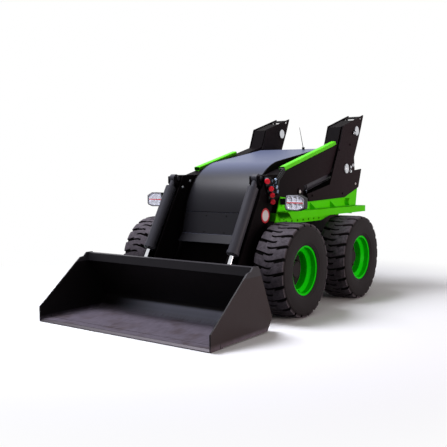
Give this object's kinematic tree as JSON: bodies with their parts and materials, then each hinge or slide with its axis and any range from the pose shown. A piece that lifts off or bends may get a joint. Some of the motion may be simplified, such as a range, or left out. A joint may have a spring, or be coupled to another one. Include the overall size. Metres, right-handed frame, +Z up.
{
  "type": "skid steer loader",
  "caption": "Compact cabless electric skid steer loader with a radial-lift arm on rear towers, a low-profile dirt bucket, and lug tyres on dished rims.",
  "frame": {"origin": "on the floor under the middle of the whole machine, from cutting edge to tower corner", "axes": "+Z up, the bucket faces -Y, +X is the machine's own left side"},
  "size_m": [1.83, 3.3115, 1.8967],
  "materials": {
    "black_powder_coat": "satin",
    "green_paint": "gloss",
    "grey_cover": "satin",
    "bucket_paint": "satin",
    "worn_steel": "worn",
    "chrome_rod": "polished",
    "zinc_pin": "zinc plated",
    "tyre_rubber": "matt",
    "hose_rubber": "satin",
    "lamp_shell": "gloss",
    "lamp_glass": "clear",
    "black_plastic": "matt",
    "coupler_steel": "zinc plated",
    "red_plastic": "gloss",
    "battery_case": "matt"
  },
  "bodies": {
    "chassis": {"chassis_tub": "black_powder_coat", "hood": "grey_cover", "front_panel": "grey_cover", "body_side_left": "black_powder_coat", "body_side_right": "black_powder_coat", "battery_pack": "battery_case", "side_frame_left": "green_paint", "side_frame_right": "green_paint", "tower_outer_plate_left": "black_powder_coat", "tower_outer_plate_right": "black_powder_coat", "tower_inner_plate_left": "black_powder_coat", "tower_inner_plate_right": "black_powder_coat", "tower_pins": "zinc_pin", "work_lamps": "lamp_shell", "lamp_lenses": "lamp_glass", "aerial": "black_plastic"},
    "rear_door": {"rear_door": "grey_cover"},
    "lift_arms": {"lift_arm_left": "black_powder_coat", "lift_arm_right": "black_powder_coat", "arm_tubes": "green_paint", "arm_cross_tube": "black_powder_coat", "tilt_base_pins": "zinc_pin", "coupler_block": "coupler_steel", "coupler_caps": "red_plastic", "arm_hoses": "hose_rubber"},
    "bucket_carrier": {"quick_coupler": "black_powder_coat", "coupler_pins": "zinc_pin", "bucket": "bucket_paint", "cutting_edge": "worn_steel"},
    "wheel_front_left": {"tyre_front_left": "tyre_rubber", "rim_front_left": "green_paint"},
    "wheel_front_right": {"tyre_front_right": "tyre_rubber", "rim_front_right": "green_paint"},
    "wheel_rear_left": {"tyre_rear_left": "tyre_rubber", "rim_rear_left": "green_paint"},
    "wheel_rear_right": {"tyre_rear_right": "tyre_rubber", "rim_rear_right": "green_paint"},
    "lift_barrel_left": {"lift_cylinder_barrel_left": "black_powder_coat"},
    "lift_rod_left": {"lift_cylinder_rod_left": "chrome_rod"},
    "tilt_barrel_left": {"tilt_cylinder_barrel_left": "black_powder_coat"},
    "tilt_rod_left": {"tilt_cylinder_rod_left": "chrome_rod"},
    "lift_barrel_right": {"lift_cylinder_barrel_right": "black_powder_coat"},
    "lift_rod_right": {"lift_cylinder_rod_right": "chrome_rod"},
    "tilt_barrel_right": {"tilt_cylinder_barrel_right": "black_powder_coat"},
    "tilt_rod_right": {"tilt_cylinder_rod_right": "chrome_rod"}
  },
  "joints": [
    {"name": "wheel_spin_front_left", "type": "hinge", "parent": "chassis", "child": "wheel_front_left", "pos_m": [0.75, -0.235, 0.415], "axis": [-1, 0, 0], "continuous": true},
    {"name": "wheel_spin_front_right", "type": "hinge", "parent": "chassis", "child": "wheel_front_right", "pos_m": [-0.75, -0.235, 0.415], "axis": [-1, 0, 0], "continuous": true},
    {"name": "wheel_spin_rear_left", "type": "hinge", "parent": "chassis", "child": "wheel_rear_left", "pos_m": [0.75, 0.909, 0.415], "axis": [-1, 0, 0], "continuous": true},
    {"name": "wheel_spin_rear_right", "type": "hinge", "parent": "chassis", "child": "wheel_rear_right", "pos_m": [-0.75, 0.909, 0.415], "axis": [-1, 0, 0], "continuous": true},
    {"name": "arm_lift", "type": "hinge", "parent": "chassis", "child": "lift_arms", "pos_m": [0, 1.477, 1.716], "axis": [-1, 0, 0], "range_deg": [0, 60]},
    {"name": "bucket_tilt", "type": "hinge", "parent": "lift_arms", "child": "bucket_carrier", "pos_m": [0, -0.697, 0.19], "axis": [-1, 0, 0], "range_deg": [-95, 27]},
    {"name": "lift_barrel_swing_left", "type": "hinge", "parent": "chassis", "child": "lift_barrel_left", "pos_m": [0.4663, 1.235, 1.307], "axis": [-1, 0, 0], "range_deg": [0, 67]},
    {"name": "lift_rod_slide_left", "type": "slide", "parent": "lift_barrel_left", "child": "lift_rod_left", "axis": [0, -0.9743, -0.2252], "range_m": [0, 0.48]},
    {"name": "tilt_barrel_swing_left", "type": "hinge", "parent": "lift_arms", "child": "tilt_barrel_left", "pos_m": [0.4663, -0.376, 1.212], "axis": [-1, 0, 0], "range_deg": [-5, 2]},
    {"name": "tilt_rod_slide_left", "type": "slide", "parent": "tilt_barrel_left", "child": "tilt_rod_left", "axis": [0, -0.4959, -0.8684], "range_m": [-0.1, 0.34]},
    {"name": "lift_barrel_swing_right", "type": "hinge", "parent": "chassis", "child": "lift_barrel_right", "pos_m": [-0.4663, 1.235, 1.307], "axis": [-1, 0, 0], "range_deg": [0, 67]},
    {"name": "lift_rod_slide_right", "type": "slide", "parent": "lift_barrel_right", "child": "lift_rod_right", "axis": [0, -0.9743, -0.2252], "range_m": [0, 0.48]},
    {"name": "tilt_barrel_swing_right", "type": "hinge", "parent": "lift_arms", "child": "tilt_barrel_right", "pos_m": [-0.4663, -0.376, 1.212], "axis": [-1, 0, 0], "range_deg": [-5, 2]},
    {"name": "tilt_rod_slide_right", "type": "slide", "parent": "tilt_barrel_right", "child": "tilt_rod_right", "axis": [0, -0.4959, -0.8684], "range_m": [-0.1, 0.34]},
    {"name": "rear_door_hinge", "type": "hinge", "parent": "chassis", "child": "rear_door", "pos_m": [-0.337, 1.474, 1.07], "axis": [0, 0, 1], "range_deg": [0, 90]}
  ],
  "couplings": [
    {"joint": "lift_barrel_swing_left", "follows": "arm_lift", "ratio": 1.085},
    {"joint": "lift_rod_slide_left", "follows": "arm_lift", "m_per_rad": 0.4445},
    {"joint": "tilt_barrel_swing_left", "follows": "bucket_tilt", "ratio": 0.03},
    {"joint": "tilt_rod_slide_left", "follows": "bucket_tilt", "m_per_rad": -0.20054},
    {"joint": "lift_barrel_swing_right", "follows": "arm_lift", "ratio": 1.085},
    {"joint": "lift_rod_slide_right", "follows": "arm_lift", "m_per_rad": 0.4445},
    {"joint": "tilt_barrel_swing_right", "follows": "bucket_tilt", "ratio": 0.03},
    {"joint": "tilt_rod_slide_right", "follows": "bucket_tilt", "m_per_rad": -0.20054}
  ]
}
